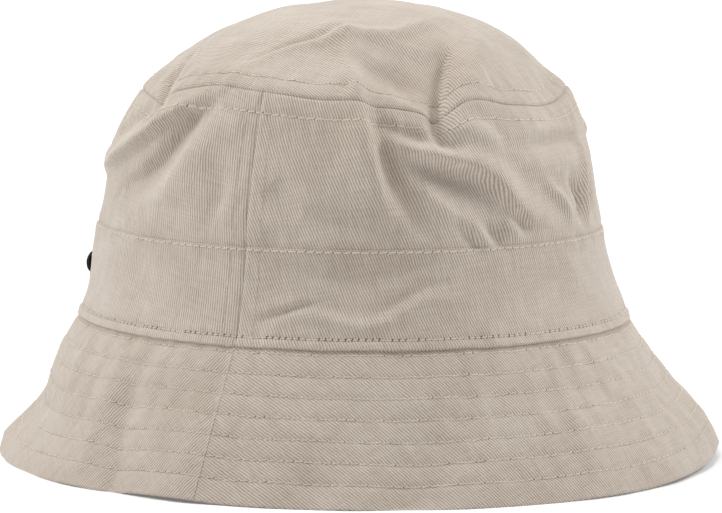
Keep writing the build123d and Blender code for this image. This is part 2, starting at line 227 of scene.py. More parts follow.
# Each fold: height out of the surface, its width on the left and right of its line, and the line
# itself as (azimuth, height) points. Left is as one goes along it with the cloth's outside up.
FOLDS = [
    # Side crown, wearer's left front: the long diagonal fold and the hollows beside it.
    (2.1, 5.0, 1.8, [(-60, 101), (-50, 105), (-40, 112.5), (-32, 119), (-24, 124), (-14, 128)]),
    (-1.9, 3.0, 6.5, [(-42, 97), (-34.7, 102.6), (-30, 108.3), (-26, 114.6), (-21, 121), (-16, 126)]),
    (-1.7, 5.0, 4.0, [(-58, 113), (-50, 119), (-43, 127)]),
    (0.8, 3.0, 3.0, [(-60, 104), (-54, 111), (-50, 119)]),
    (0.9, 6.0, 7.0, [(-30, 92), (-20, 103), (-13, 116)]),
    (-0.9, 5.0, 4.0, [(-11, 88), (-9, 98), (-9, 110)]),
    (-1.1, 4.5, 5.5, [(6, 104), (8.5, 99), (12.5, 94)]),
    (-0.7, 3.0, 3.0, [(12, 93.5), (21, 90.5), (30, 88)]),
    (-0.5, 3.0, 3.0, [(4, 87), (8, 85)]),
    # Side crown, wearer's left back: the steep fold down from the crown seam.
    (1.9, 3.0, 7.5, [(22, 136), (24.5, 127), (27, 118), (28.6, 110), (30, 102), (32.5, 92)]),
    (-1.9, 4.0, 3.0, [(28, 124), (30, 117), (32.5, 110), (35, 103), (38, 96), (41, 88)]),
    (-1.5, 4.0, 6.5, [(37, 113), (45, 108), (52, 102), (58, 95)]),
    (0.8, 2.5, 3.5, [(40, 103), (45, 96), (50, 89)]),
    (-0.8, 4.0, 4.0, [(30, 89), (36, 86)]),
    # The fold from there round to the back, below the crown seam's notch.
    (2.1, 6.0, 2.3, [(31, 117.5), (36, 117.5), (41, 115.3), (46, 112.6), (52, 108.5),
                     (58, 102.5), (65, 94.5), (71, 88)]),
    (-1.5, 3.0, 3.0, [(31, 122), (38, 121), (45, 118.5)]),
    (-1.5, 2.6, 3.0, [(46.5, 133), (46.5, 125), (47.5, 118), (51, 113)]),
    (1.4, 4.0, 4.0, [(52, 130), (51, 124), (55, 119), (59, 114)]),
    (1.2, 8.0, 8.0, [(60, 118), (70, 119), (82, 119)]),
    (-1.2, 3.2, 3.0, [(66, 114.5), (75, 115.5), (88, 113), (96, 113.5)]),
    (0.8, 4.0, 5.0, [(63, 108), (76, 107), (90, 107)]),
    (1.0, 2.6, 2.6, [(75, 103), (79, 96), (82, 89)]),
    (-1.2, 2.6, 2.0, [(84, 104), (87, 97), (88, 89)]),
    (1.2, 2.2, 3.0, [(97, 114), (92, 104), (91, 96), (93, 88)]),
    (-1.0, 3.0, 3.0, [(101, 108), (98, 98), (99, 89)]),
    # Short pulls just above the band, at the back left.
    (-0.9, 1.8, 2.4, [(47, 92), (50, 88), (52.5, 85)]),
    (0.7, 1.8, 2.0, [(51, 93), (54, 88), (56, 85)]),
    (-0.9, 1.8, 2.4, [(55, 92), (58, 88), (60, 85)]),
    (0.7, 2.0, 2.0, [(60, 92), (63, 88), (65, 85)]),
    (-0.7, 2.0, 2.4, [(64, 93), (67, 88), (69, 85)]),
    # Tip: two creases and the hollow between them, and the hollow on the left.
    (1.3, 6.0, 4.0, [(23, 133), (23, 141), (20, 149), (5, 156)]),
    (-1.7, 11.0, 11.0, [(36, 131), (38, 140), (42, 149)]),
    (-1.7, 3.6, 1.1, [(46.4, 127), (48.4, 134), (51, 140), (57, 147)]),
    (1.3, 6.0, 6.0, [(56, 133), (62, 142), (80, 150)]),
    (-1.8, 3.4, 1.6, [(-39, 126), (-40.5, 133), (-43, 140), (-47, 145)]),
    (0.9, 2.0, 7.0, [(-33, 126), (-33.5, 133), (-36, 140), (-42, 147)]),
    (-1.0, 2.4, 2.4, [(-13, 142), (-6, 147), (5, 151.5), (16, 154)]),
    (1.0, 4.0, 4.0, [(-12, 140), (2, 146.6), (15, 149.6), (38, 151.8), (70, 155)]),
    (-1.0, 5.0, 6.0, [(13, 146), (25, 142), (37, 137), (45, 132)]),
    (0.8, 2.0, 2.2, [(24, 131), (23.5, 138), (21, 144)]),
    # Front, back and the wearer's right, which lie the same way.
    (2.0, 6.0, 3.5, [(-128, 99), (-118, 108), (-108, 117), (-98, 127)]),
    (-1.5, 3.5, 5.5, [(-118, 97), (-108, 106), (-99, 116)]),
    (1.3, 5.0, 3.0, [(-84, 131), (-83, 120), (-79, 108), (-74, 97)]),
    (-1.2, 3.0, 4.5, [(-79, 128), (-77, 117), (-71, 104)]),
    (-1.0, 4.0, 4.0, [(-93, 95), (-88, 90), (-84, 86)]),
    (1.8, 4.0, 3.0, [(118, 118), (127, 115), (137, 109), (147, 99), (153, 90)]),
    (-1.6, 3.0, 3.5, [(131, 133), (131, 124), (134, 114), (140, 106)]),
    (1.2, 4.0, 3.0, [(160, 129), (163, 117), (168, 104), (171, 94)]),
    (-1.2, 3.0, 4.0, [(166, 127), (170, 114), (177, 101), (182, 90)]),
    (1.9, 5.0, 3.2, [(-164, 98), (-155, 107), (-146, 116), (-139, 126)]),
    (-1.5, 3.5, 5.0, [(-154, 96), (-145, 105), (-137, 115)]),
    (-1.2, 2.2, 2.4, [(112, 103), (115, 96), (117, 88)]),
    (0.9, 2.2, 2.4, [(190, 100), (194, 93), (197, 86)]),
    (-0.8, 2.0, 2.2, [(142, 93), (145, 88), (147, 85)]),
    (-1.7, 9.0, 9.0, [(130, 133), (128, 142), (120, 151)]),
    (-1.8, 3.2, 3.0, [(152, 128), (150, 138), (145, 148)]),
    (1.2, 4.0, 6.0, [(-130, 130), (-126, 140), (-116, 150)]),
    (-1.5, 6.0, 5.0, [(-106, 131), (-102, 141), (-96, 150)]),
    # Brim: the flute in its edge below the left side, with its crease, and a few gentle waves.
    (1.1, 9.0, 6.0, [(-25, -8), (-25, 12), (-26, 30), (-27, 40)]),
    (-1.2, 5.0, 8.0, [(-15, -8), (-16.5, 10), (-19, 26), (-21, 38)]),
    (0.5, 9.0, 9.0, [(-2, -8), (-4, 14), (-6, 32)]),
    (-0.8, 12.0, 12.0, [(33, -8), (33, 18), (33, 34)]),
    (0.8, 14.0, 12.0, [(70, -8), (68, 16), (66, 34)]),
    (1.1, 12.0, 10.0, [(-75, -8), (-76, 14), (-78, 34)]),
    (-1.2, 9.0, 10.0, [(-96, -8), (-96, 14), (-95, 32)]),
    (1.2, 12.0, 10.0, [(150, -8), (151, 14), (153, 34)]),
    (-1.2, 9.0, 10.0, [(168, -8), (168, 14), (170, 30)]),
    (1.0, 12.0, 12.0, [(-140, -8), (-141, 14), (-142, 34)]),
    # Band: shallow pulls between its two rows.
    (-0.4, 5.0, 5.0, [(-32, 76), (-28, 66), (-26, 58)]),
    (-0.65, 4.0, 4.5, [(2, 78), (13, 75.2), (24, 74.5), (34, 74.8), (46, 77)]),
    (0.3, 2.5, 2.0, [(2, 62.5), (10, 62.5), (18, 64.5)]),
    (-0.55, 1.6, 1.8, [(4, 58.7), (10, 60), (17, 63)]),
    (-0.7, 2.6, 1.8, [(30, 62.5), (38, 66.3), (45, 71)]),
    (0.55, 2.5, 2.5, [(10, 57.6), (22, 57.8), (32, 59), (41, 62.8), (50, 65)]),
    (0.4, 5.0, 5.0, [(78, 76), (82, 66), (84, 58)]),
    (-0.5, 5.0, 5.0, [(130, 76), (134, 66), (136, 58)]),
    (0.6, 5.0, 5.0, [(-140, 76), (-136, 66), (-134, 58)]),
]
# All folds are this many times as high, and their lines stray by this much, in waves of this size.
FOLD_STRENGTH, FOLD_STRAY, STRAY_SIZE = 2.2, 1.6, 17

# Broad swellings and hollows: azimuth, height, half width round the hat in degrees, half height, amount.
BULGES = [
    (-64, 112, 40, 16, 1.3),
    (-64, 74, 30, 14, 2.6),
    (116, 96, 35, 18, -1.4),
    (116, 136, 38, 9, -3.0),
    (116, 153, 45, 6, 1.4),
    (26, 100, 30, 14, 1.0),
    (-64, 16, 35, 13, -5.6),
    (116, 10, 32, 13, 3.2),
    (180, 98, 40, 18, 1.0),
    (-120, 100, 35, 15, 0.8),
]

# How far the crown seam rides up or down round the hat, and how high the rim is off the table.
CROWN_SEAM_RISE = [
    (-64, 0), (-47, -1.2), (-38, -3), (-29, 2), (-16, 5.5), (0, 4), (12, 2), (25, 0.4), (40, -1.6),
    (46.4, -4), (54, 0.8), (69, -1.2), (90, -1.5), (120, 2), (131, -3), (140, 1), (165, 0), (190, 3),
    (215, 0), (230, -2), (245, 2), (270, 3), (283, -2),
]
RIM_RISE = [
    (-64, 0.6), (-50, 0), (-36, 0), (-25, 0), (-19, 0.2), (-12, 1.3), (0, 0.5), (26, 0.0),
    (50, 0), (75, 0), (95, 1.6), (116, 4.4), (140, 3.2), (165, 1.5), (190, 3), (215, 2), (240, 0.8),
    (262, 2.6), (280, 1.8),
]
SEAM_RISE_REACH = 11.0
# The rim comes no nearer to the table than this.
OFF_FLOOR = 0.02

# How far the top of the crown leans from upright, and from which height on.
LEAN, LEAN_FROM, LEAN_REACH = np.array([-1.3, 2.6]), 100, 60

# Random creases, as (amount, size, waves, seed): over the crown, below it and everywhere.
CROWN_CREASES = [(0.55, 24, 12, 21), (0.36, 10, 12, 22)]
LOWER_CREASES = [(0.34, 13, 12, 24)]
FINE_CREASES = [(0.07, 4.0, 14, 23)]

# Seams, as (amount, reach) across them: the crown seam sinks, the band's upper edge swells, its
# foot stands proud, and the brim sinks below it. The crown sinks by BAND_STEP behind the band.
CROWN_SINK, BAND_SWELL, FOOT_WELT, BRIM_SINK = (-0.8, 0.5), (0.25, 1.6), (0.32, 1.5), (-0.4, 1.4)
BAND_STEP, BAND_STEP_REACH = 0.5, 3.0
# Side seams are a groove in the walls and a slight ridge on the brim.
WALL_GROOVE, BRIM_GROOVE, GROOVE_REACH = 0.5, -0.2, 0.7
# Each stitched row lies in a furrow, with puckers over this reach.
FURROW_REACH, PUCKER_REACH = 0.9, 4.0


def around(azimuth, table):
    """A smooth periodic curve through (azimuth, value) points, starting anywhere."""
    x, y = (np.array(column, float) for column in zip(*table))
    x, y = np.concatenate([x - 360, x, x + 360]), np.tile(y, 3)
    slope = np.gradient(y, x)
    a = (np.asarray(azimuth, float) - table[0][0]) % 360 + table[0][0]
    i = np.clip(np.searchsorted(x, a, side="right") - 1, 0, len(x) - 2)
    h = x[i + 1] - x[i]
    t = (a - x[i]) / h
    low = (1 + 2 * t) * (1 - t) ** 2 * y[i] + t * (1 - t) ** 2 * h * slope[i]
    return low + t * t * (3 - 2 * t) * y[i + 1] + t * t * (t - 1) * h * slope[i + 1]


def fold_amount(p, fold):
    """How far one fold moves each point outwards."""
    height, left, right, line = fold
    bends = on_surface(*np.array(line, float).T)
    reach = 3 * max(left, right)
    near = np.all((p > bends.min(0) - reach) & (p < bends.max(0) + reach), axis=1)
    found, amount = p[near], np.zeros(len(p))
    best, along, side = np.full(len(found), np.inf), np.zeros(len(found)), np.zeros(len(found))
    normal = outward(found)
    lengths = np.linalg.norm(np.diff(bends, axis=0), axis=1)
    total, done = lengths.sum(), 0.0
    for a, b, length in zip(bends, bends[1:], lengths):
        way = (b - a) / length
        t = np.clip((found - a) @ way, 0, length)
        off = found - a - t[:, None] * way
        off -= (off * normal).sum(1)[:, None] * normal
        distance = np.linalg.norm(off, axis=1)
        closer = distance < best
        best[closer], along[closer] = distance[closer], (done + t[closer]) / total
        side[closer] = (off[closer] * np.cross(normal[closer], way)).sum(1)
        done += length
    soft = np.clip(side / 1.2, -1, 1)
    width = (left + right) / 2 + (left - right) / 2 * soft
    fade = np.clip(np.sin(math.pi * (0.04 + 0.92 * along)), 0, 1) ** 0.7
    amount[near] = height * fade * np.exp(-((best / width) ** 2))
    return amount


def row_heights():
    """Heights of the brim's stitched rows."""
    return [HEAD_Z - (FIRST_ROW + n * ROW_PITCH) * math.cos(BRIM_SLOPE) for n in range(BRIM_ROWS)]


def hump(distance, size):
    """A bell-shaped rise or sink: its amount and its reach."""
    amount, reach = size
    return amount * np.exp(-((distance / reach) ** 2))


def seam_relief(p, azimuth):
    """The sinking of every seam and stitched row, and the puckers along them."""
    z, arc = p[:, 2], np.radians(azimuth) * 90
    ripple = wobble(np.stack([arc, z * 0.3, 0 * z], 1), 4.5, 14, 3)
    fine = wobble(np.stack([arc, z * 0.5, 0 * z], 1), 2.4, 14, 5)
    amount = hump(z - CROWN_Z, CROWN_SINK)
    # Rows as (height, depth of the furrow, height of the puckers).
    rows = [(CROWN_Z - CROWN_ROW, 0.18, 0.36), (CROWN_Z + CROWN_ROW * 0.85, 0.15, 0.32)]
    rows += [(HEAD_Z + BAND_LOWER_ROW, 0.45, 0.16), (BAND_Z - BAND_UPPER_ROW, 0.10, 0.22)]
    rows += [(height, 0.32, 0.22) for height in row_heights()]
    for height, depth, pucker in rows:
        amount += hump(z - height, (-depth, FURROW_REACH))
        amount += (0.7 * ripple + 0.45 * fine) * hump(z - height, (pucker, PUCKER_REACH))
    above = np.clip((z - BAND_Z) / BAND_STEP_REACH, 0, 1)
    amount += np.where(z > BAND_Z + 0.05, -BAND_STEP * (1 - above) ** 2, 0)
    amount += hump(z - BAND_Z + 1.6, BAND_SWELL)
    foot = hump(z - HEAD_Z - 1.0, FOOT_WELT), hump(z - HEAD_Z, BRIM_SINK)
    amount += np.where(z >= HEAD_Z - 0.05, *foot)
    seam = np.radians(np.minimum(abs((azimuth + 90) % 180 - 90), 40)) * np.hypot(p[:, 0], p[:, 1])
    walls = np.clip((z - 1) / 3, 0, 1) * np.clip((CROWN_Z + 1 - z) / 2, 0, 1)
    groove = np.where(z < HEAD_Z, BRIM_GROOVE, WALL_GROOVE)
    return amount - walls * hump(seam, (groove, GROOVE_REACH))


def creasing(p, creases):
    return sum(amount * wobble(p, size, waves, seed) for amount, size, waves, seed in creases)


def deform(points):
    """The smooth round hat's points, in millimetres, given the real hat's shape."""
    p = np.array(points, float).reshape(-1, 3)
    z, azimuth = p[:, 2], np.degrees(np.arctan2(p[:, 1], p[:, 0]))
    strayed = p + FOLD_STRAY * np.stack([wobble(p, STRAY_SIZE, 10, seed) for seed in (11, 12, 13)], 1)
    amount = seam_relief(p, azimuth)
    for fold in FOLDS:
        amount += FOLD_STRENGTH * fold_amount(strayed, fold)
    for middle, height, half_turn, half_height, swell in BULGES:
        turn = (azimuth - middle + 180) % 360 - 180
        amount += hump(turn, (swell, half_turn)) * hump(z - height, (1, half_height))
    crown = np.clip((z - 84) / 16, 0, 1)
    amount += crown * creasing(p, CROWN_CREASES) + (1 - crown) * creasing(p, LOWER_CREASES)
    out = p + outward(p) * (amount + creasing(p, FINE_CREASES))[:, None]
    hang = np.clip((HEAD_Z - z) / HEAD_Z, 0, 1.1)
    out[:, 2] += around(azimuth, RIM_RISE) * hang**1.3
    out[:, 2] += hump(z - CROWN_Z, (around(azimuth, CROWN_SEAM_RISE), SEAM_RISE_REACH))
    out[:, :2] += np.clip((z - LEAN_FROM) / LEAN_REACH, 0, 1)[:, None] ** 2 * LEAN
    out[:, 2] = np.maximum(out[:, 2], OFF_FLOOR)
    return out * np.array([STRETCH_X, STRETCH_Y, 1.0])


# ---- meshes


def add_mesh(name, points, faces, uv, materials, faces_material=None, shape=deform):
    """A mesh of deformed points. faces is a list of index arrays, each of one face size."""
    mesh = bpy.data.meshes.new(name)
    co = shape(points) * MM
    mesh.vertices.add(len(co))
    mesh.vertices.foreach_set("co", co.astype(np.float32).ravel())
    sizes = np.concatenate([np.full(len(f), f.shape[1]) for f in faces])
    loops = np.concatenate([f.ravel() for f in faces])
    mesh.loops.add(len(loops))
    mesh.loops.foreach_set("vertex_index", loops.astype(np.int32))
    mesh.polygons.add(len(sizes))
    starts = np.concatenate([[0], np.cumsum(sizes)[:-1]])
    mesh.polygons.foreach_set("loop_start", starts.astype(np.int32))
    mesh.polygons.foreach_set("use_smooth", np.ones(len(sizes), bool))
    if faces_material is not None:
        mesh.polygons.foreach_set("material_index", faces_material.astype(np.int32))
    if uv is not None:
        layer = mesh.uv_layers.new(name="cloth")
        flat = np.concatenate([u.reshape(-1, 2) for u in uv]) * MM
        layer.data.foreach_set("uv", flat.astype(np.float32).ravel())
    mesh.update(calc_edges=True)
    mesh.set_sharp_from_angle(angle=math.radians(55))
    for material in materials:
        mesh.materials.append(material)
    piece = bpy.data.objects.new(name, mesh)
    bpy.context.scene.collection.objects.link(piece)
    return piece


def fold_over(a, before, b, count=6):
    """Points of the half circle that cloth makes from a round to b, having come from before."""
    middle, radius = (a + b) / 2, np.linalg.norm(a - b) / 2
    across, on = (a - middle) / radius, unit(a - before)
    on = unit(on - across * (on @ across))
    turn = np.linspace(0, math.pi, count + 2)[1:-1, None]
    return middle + radius * (np.cos(turn) * across + np.sin(turn) * on)


def outline(*path):
    """A closed cross-section. Steps are (radius, height) corners, (curve, inset, from z, to z, step) runs
    and "fold", which rounds the way from the last run to the next one."""
    points, folding = np.zeros((0, 2)), False
    for step in path:
        if step == "fold":
            folding = True
            continue
        new = np.array([step], float) if len(step) == 2 else step[0].points(*step[1:])
        if folding:
            new = np.concatenate([fold_over(points[-1], points[-2], new[0]), new])
        points = np.concatenate([points, new])
        folding = False
    if folding:
        points = np.concatenate([points, fold_over(points[-1], points[-2], points[0])])
    return points


def cut_as_arc(foot_radius, spread):
    """Flat pattern of a half ring whose ends turn through spread degrees: (turn, climb) to (u, v)."""
    reach = foot_radius * math.pi / 2 / math.radians(spread)

    def flat(turn, climb):
        angle = turn / 90 * math.radians(spread)
        return np.stack([(reach - climb) * np.sin(angle), reach - (reach - climb) * np.cos(angle)], -1)

    return flat


def lathe(name, section, middle, arc, pattern, materials, columns=None):
    """A cross-section turned through an arc about an azimuth; a full turn closes on itself."""
    closed = arc >= 360
    count = columns or round(COLUMNS * arc / 360)
    turn = np.linspace(-arc / 2, arc / 2, count + 1)[: count if closed else None]
    a = np.radians(middle + turn)
    points = spun(section[:, 0], section[:, 1], a[:, None])
    index = np.arange(len(a) * len(section)).reshape(len(a), -1)
    grid = np.concatenate([index, index[:, :1]], 1)
    if closed:
        grid = np.concatenate([grid, grid[:1]])
    steps = np.linalg.norm(np.roll(section, -1, 0) - section, axis=1)
    climb = np.concatenate([[0], np.cumsum(steps)])
    turns = np.append(turn, arc / 2) if closed else turn
    flat = pattern(turns[:, None] + 0 * climb[None], climb[None] + 0 * turns[:, None])
    uv, faces = [corners(flat)], [corners(grid).reshape(-1, 4)]
    if not closed:
        faces.append(np.stack([index[0], index[-1, ::-1]]))
        uv.append(np.stack([flat[0, :-1], flat[-1, -2::-1]]))
    return add_mesh(name, points, faces, uv, materials)


def straight(radius):
    """Flat pattern of a strip cut straight."""
    return lambda turn, climb: np.stack([np.radians(turn) * radius, climb], -1)


def lattice_disc(half):
    """A square lattice pressed into a disc: (radius share, angle) of each point, row by row."""
    line = np.linspace(-1, 1, 2 * half + 1)
    x, y = np.meshgrid(line, line, indexing="ij")
    share = np.maximum(abs(x), abs(y))
    safe = np.where(share == 0, 1, share)
    wide = abs(x) >= abs(y)
    quarter = math.pi / 4 * np.where(wide, y, x) / safe
    sideways = np.where(x >= 0, quarter, math.pi - quarter)
    angle = np.where(wide, sideways, np.where(y >= 0, 1, -1) * (math.pi / 2 - quarter))
    return share.ravel(), angle.ravel()


def disc_rim(half):
    """Indices of the lattice's outermost points, anticlockwise from angle -pi/4."""
    side = 2 * half + 1
    index = np.arange(side * side).reshape(side, side)
    return np.concatenate([index[-1, :-1], index[:0:-1, -1], index[0, :0:-1], index[:-1, 0]])


# ---- stitches


def stitch_mesh(name, holes, normals, materials, thick=0.24, proud=0.14, hole=HOLE):
    """Thread between each pair of neighbouring holes, dipping into both, with a dark lens of painted
    shade at each hole.
    """
    a, b = holes[:-1], holes[1:]
    normal, way = unit(normals[:-1] + normals[1:]), unit(b - a)
    length = np.linalg.norm(b - a, axis=1, keepdims=True)
    across = np.cross(normal, way)
    slant = rng.normal(0.05, 0.02, (len(a), 1, 1))
    t = np.array([0.03, 0.09, 0.2, 0.5, 0.8, 0.91, 0.97])
    rise = np.array([-1.9, -0.2, 0.75, 1.0, 0.75, -0.2, -1.9])
    girth = np.array([0.75, 1.0, 1.05, 1.0, 1.05, 1.0, 0.75]) * thick
    lift = proud * rng.normal(1, 0.15, (len(a), 1, 1)) * rise[None, :, None]
    line = a[:, None] + way[:, None] * length[:, None] * t[None, :, None] + normal[:, None] * lift
    line += across[:, None] * length[:, None] * slant * (t - 0.5)[None, :, None] * 2
    spoke = across[:, None, None] * np.cos(HEXAGON)[None, None, :, None]
    spoke = spoke + normal[:, None, None] * np.sin(HEXAGON)[None, None, :, None]
    thread = line[:, :, None] + spoke * girth[None, :, None, None]
    base = np.arange(thread[..., 0].size).reshape(thread.shape[:3])
    beside = np.roll(base, -1, 2)
    quads = np.stack([base[:, :-1], base[:, 1:], beside[:, 1:], beside[:, :-1]], -1).reshape(-1, 4)
    ends = np.concatenate([base[:, 0], base[:, -1, ::-1]])
    # The dark lenses at the holes are painted shade; they take the second material.
    shade_points, shade_faces = hole_shade_lenses(holes, normals, base.size, hole)
    points = np.concatenate([thread.reshape(-1, 3), shade_points])
    which = np.concatenate([np.zeros(len(quads) + len(ends)), np.ones(len(shade_faces))])
    order = [quads, ends, shade_faces]
    return add_mesh(name, points, order, None, materials, which)


def hole_shade_lenses(holes, normals, first, radius):
    """A dark lens at each needle hole, just proud of the cloth: painted shade for the shadow inside the
    hole.
    """
    side = unit(np.cross(normals, [0.31, 0.17, 0.93]))
    other = np.cross(normals, side)
    spoke = side[:, None] * np.cos(HEXAGON)[:, None] + other[:, None] * np.sin(HEXAGON)[:, None]
    rim = holes[:, None] + radius * spoke
    top, bottom = holes + 0.05 * normals, holes - 0.25 * normals
    points = np.concatenate([rim, top[:, None], bottom[:, None]], 1).reshape(-1, 3)
    start = first + 8 * np.arange(len(holes))[:, None]
    k = np.arange(6)
    up = np.stack([start + k, start + (k + 1) % 6, start + 6 + 0 * k], -1)
    down = np.stack([start + (k + 1) % 6, start + k, start + 7 + 0 * k], -1)
    return points, np.concatenate([up, down], 1).reshape(-1, 3)


def ring_holes(radius, z, middle=0.0, arc=360.0, length=STITCH):
    """Needle holes round the hat, at the stitch length, with small irregularities."""
    count = round(math.radians(arc) * radius / length)
    turn = np.linspace(-arc / 2, arc / 2, count + 1)
    turn[1:-1] += rng.normal(0, 0.03, count - 1) * arc / count
    a = np.radians(middle + turn)
    height = z + rng.normal(0, 0.06, len(a))
    if arc >= 360:
        height[-1] = height[0]
    return spun(radius, height, a)


def row_of_stitches(name, curve, z, inside, materials, length, hole):
    """A row round the hat, seen as thread outside and again at an inset on the inside."""
    for side, inset in ((1, 0.0), (-1, inside)):
        radius = float(curve.radius(z, inset))
        holes = ring_holes(radius, z, length=length)
        normals = side * outward(holes)
        yield stitch_mesh(name, holes, normals, materials, hole=hole)


# ---- materials


class Nodes:
    """Short ways to build shader nodes, for a new material or for the world."""

    def __init__(self, name, world=None):
        self.material = world or bpy.data.materials.new(name)
        self.material.use_nodes = True
        self.tree = self.material.node_tree
        self.shader = self.tree.nodes["Background" if world else "Principled BSDF"]

    def node(self, kind, inputs=(), **settings):
        made = self.tree.nodes.new(kind)
        for key, value in settings.items():
            setattr(made, key, value)
        for key, value in dict(inputs).items():
            self.put(made.inputs[key], value)
        return made

    def put(self, socket, value):
        if isinstance(value, bpy.types.NodeSocket):
            self.tree.links.new(value, socket)
        else:
            socket.default_value = value

    def shade(self, values):
        """Give the shader's own inputs these values or links."""
        for key, value in values.items():
            self.put(self.shader.inputs[key], value)

    def uv(self):
        """Places on the flat cloth, in metres."""
        return self.node("ShaderNodeUVMap", uv_map="cloth").outputs["UV"]

    def position(self):
        return self.node("ShaderNodeTexCoord").outputs["Object"]

    def math(self, operation, *values):
        return self.node("ShaderNodeMath", dict(enumerate(values)), operation=operation).outputs[0]

    def dot(self, vector, direction):
        made = self.node("ShaderNodeVectorMath", {0: vector, 1: direction}, operation="DOT_PRODUCT")
        return made.outputs["Value"]

    def stretch(self, vector, scale):
        made = self.node("ShaderNodeVectorMath", {0: vector, 1: scale}, operation="MULTIPLY")
        return made.outputs["Vector"]

    def noise(self, vector, scale, detail=2.0, roughness=0.5):
        inputs = {"Vector": vector, "Scale": scale, "Detail": detail, "Roughness": roughness}
        return self.node("ShaderNodeTexNoise", inputs).outputs["Fac"]

    def wave(self, distance, period):
        """0 to 1 and back over each period of a distance."""
        turns = self.math("MULTIPLY", distance, 2 * math.pi / period)
        return self.math("MULTIPLY_ADD", self.math("SINE", turns), 0.5, 0.5)

    def ramp(self, value, low, high, a, b):
        inputs = {"Value": value, "From Min": low, "From Max": high, "To Min": a, "To Max": b}
        return self.node("ShaderNodeMapRange", inputs).outputs["Result"]

    def blend(self, share, a, b):
        made = self.node("ShaderNodeMix", data_type="RGBA")
        for socket, value in zip((made.inputs[0], made.inputs[6], made.inputs[7]), (share, a, b)):
            self.put(socket, value)
        return made.outputs[2]

    def bump(self, height, distance, below=None, strength=1.0):
        inputs = {"Height": height, "Distance": distance, "Strength": strength}
        if below is not None:
            inputs["Normal"] = below
        return self.node("ShaderNodeBump", inputs).outputs["Normal"]


def rgb(red, green, blue):
    """A shader colour from the 0 to 255 values seen on a screen."""
    share = [c / 255 for c in (red, green, blue)]
    return (*[c / 12.92 if c <= 0.04045 else ((c + 0.055) / 1.055) ** 2.4 for c in share], 1.0)


def cloth_finish(n, colour, roughness, normal, sheen, shine=0.15):
    """The shader's own values for cloth."""
    n.shade({"Base Color": colour, "Roughness": roughness, "Normal": normal})
    n.shade({"Sheen Weight": sheen, "Sheen Roughness": 0.5, "Specular IOR Level": shine})


def twill(name, lean, light, dark):
    """Cotton twill: slanting ridges of thread, each broken into floats, with slubs and washed patches."""
    n = Nodes(name)
    uv = n.uv()
    a = math.radians(lean)
    along, across = (-math.sin(a), math.cos(a), 0), (math.cos(a), math.sin(a), 0)
    yarn = n.noise(uv, 420.0, 3.0, 0.6)
    drift = n.noise(uv, 60.0, 2.0)
    shift = n.math("MULTIPLY_ADD", n.math("SUBTRACT", yarn, 0.5), YARN_STRAY, n.dot(uv, across))
    shift = n.math("MULTIPLY_ADD", n.math("SUBTRACT", drift, 0.5), CLOTH_STRAY, shift)
    ridge = n.math("POWER", n.wave(shift, TWILL_PERIOD), 0.75)
    floats = n.wave(n.math("MULTIPLY_ADD", shift, 0.5, n.dot(uv, along)), TWILL_PERIOD * 1.3)
    slub = n.noise(n.stretch(uv, (1.0, 0.06, 1.0)), 1500.0, 3.0, 0.65)
    weft = n.noise(n.stretch(uv, (0.06, 1.0, 1.0)), 1500.0, 2.0, 0.6)
    washed = n.noise(n.position(), 38.0, 4.0, 0.6)
    height = n.math("MULTIPLY_ADD", floats, 0.22, ridge)
    height = n.math("MULTIPLY_ADD", slub, 0.5, n.math("MULTIPLY_ADD", weft, 0.3, height))
    tone = n.math("MULTIPLY_ADD", ridge, 0.62, n.math("MULTIPLY", n.ramp(slub, 0.3, 0.7, 0, 1), 0.24))
    tone = n.math("MULTIPLY_ADD", n.ramp(weft, 0.3, 0.7, 0, 1), 0.14, tone)
    tone = n.math("ADD", tone, n.ramp(washed, 0.3, 0.7, -0.09, 0.09))
    colour = n.blend(tone, dark, light)
    fuzz = n.bump(n.noise(uv, 9000.0, 2.0), 0.00003, strength=0.6)
    cloth_finish(n, colour, 0.92, n.bump(height, TWILL_DEPTH, fuzz), 0.25)
    return n.material


def plain_weave(name, light, dark, threads=0.0006):
    """A plain weave, such as a lining, tape or woven label."""
    n = Nodes(name)
    uv = n.uv()
    split = n.node("ShaderNodeSeparateXYZ", {0: uv}).outputs
    weave = n.math("MULTIPLY", n.wave(split["X"], threads), n.wave(split["Y"], threads))
    slub = n.noise(n.stretch(uv, (1.0, 0.08, 1.0)), 1200.0, 2.0)
    tone = n.math("ADD", n.math("MULTIPLY", weave, 0.6), n.math("MULTIPLY", slub, 0.4))
    cloth_finish(n, n.blend(tone, dark, light), 0.85, n.bump(weave, 0.0001), 0.2)
    return n.material


def thread_material(name, light, dark):
    """Spun thread, twisted along its length, a little lighter than the cloth."""
    n = Nodes(name)
    spot = n.position()
    fibre = n.noise(spot, 2600.0, 3.0, 0.7)
    twist = n.noise(spot, 900.0, 1.0)
    tone = n.math("MULTIPLY_ADD", fibre, 0.5, n.math("MULTIPLY", twist, 0.5))
    cloth_finish(n, n.blend(tone, dark, light), 0.7, n.bump(fibre, 0.00008), 0.3)
    return n.material


def printed_satin(name, ground, ink, lines):
    """Satin ribbon with print too small to read: lines as (from, to, half width) in metres."""
    n = Nodes(name)
    uv = n.uv()
    split = n.node("ShaderNodeSeparateXYZ", {0: uv}).outputs
    words = n.math("GREATER_THAN", n.noise(n.stretch(uv, (1.0, 0.35, 1.0)), 1400.0, 1.0), 0.5)
    marks = 0.0
    for low, high, reach in lines:
        above, below = n.math("GREATER_THAN", split["Y"], low), n.math("LESS_THAN", split["Y"], high)
        tall = n.math("MULTIPLY", above, below)
        wide = n.math("LESS_THAN", n.math("ABSOLUTE", split["X"]), reach)
        marks = n.math("MAXIMUM", marks, n.math("MULTIPLY", tall, wide))
    ribs = n.wave(split["Y"], 0.0004)
    colour = n.blend(n.math("MULTIPLY", marks, words), ground, ink)
    cloth_finish(n, colour, 0.45, n.bump(ribs, 0.00004), 0.1, 0.5)
    return n.material


def flat_colour(name, colour):
    n = Nodes(name)
    n.shade({"Base Color": colour, "Roughness": 0.9})
    return n.material


# ---- the pieces

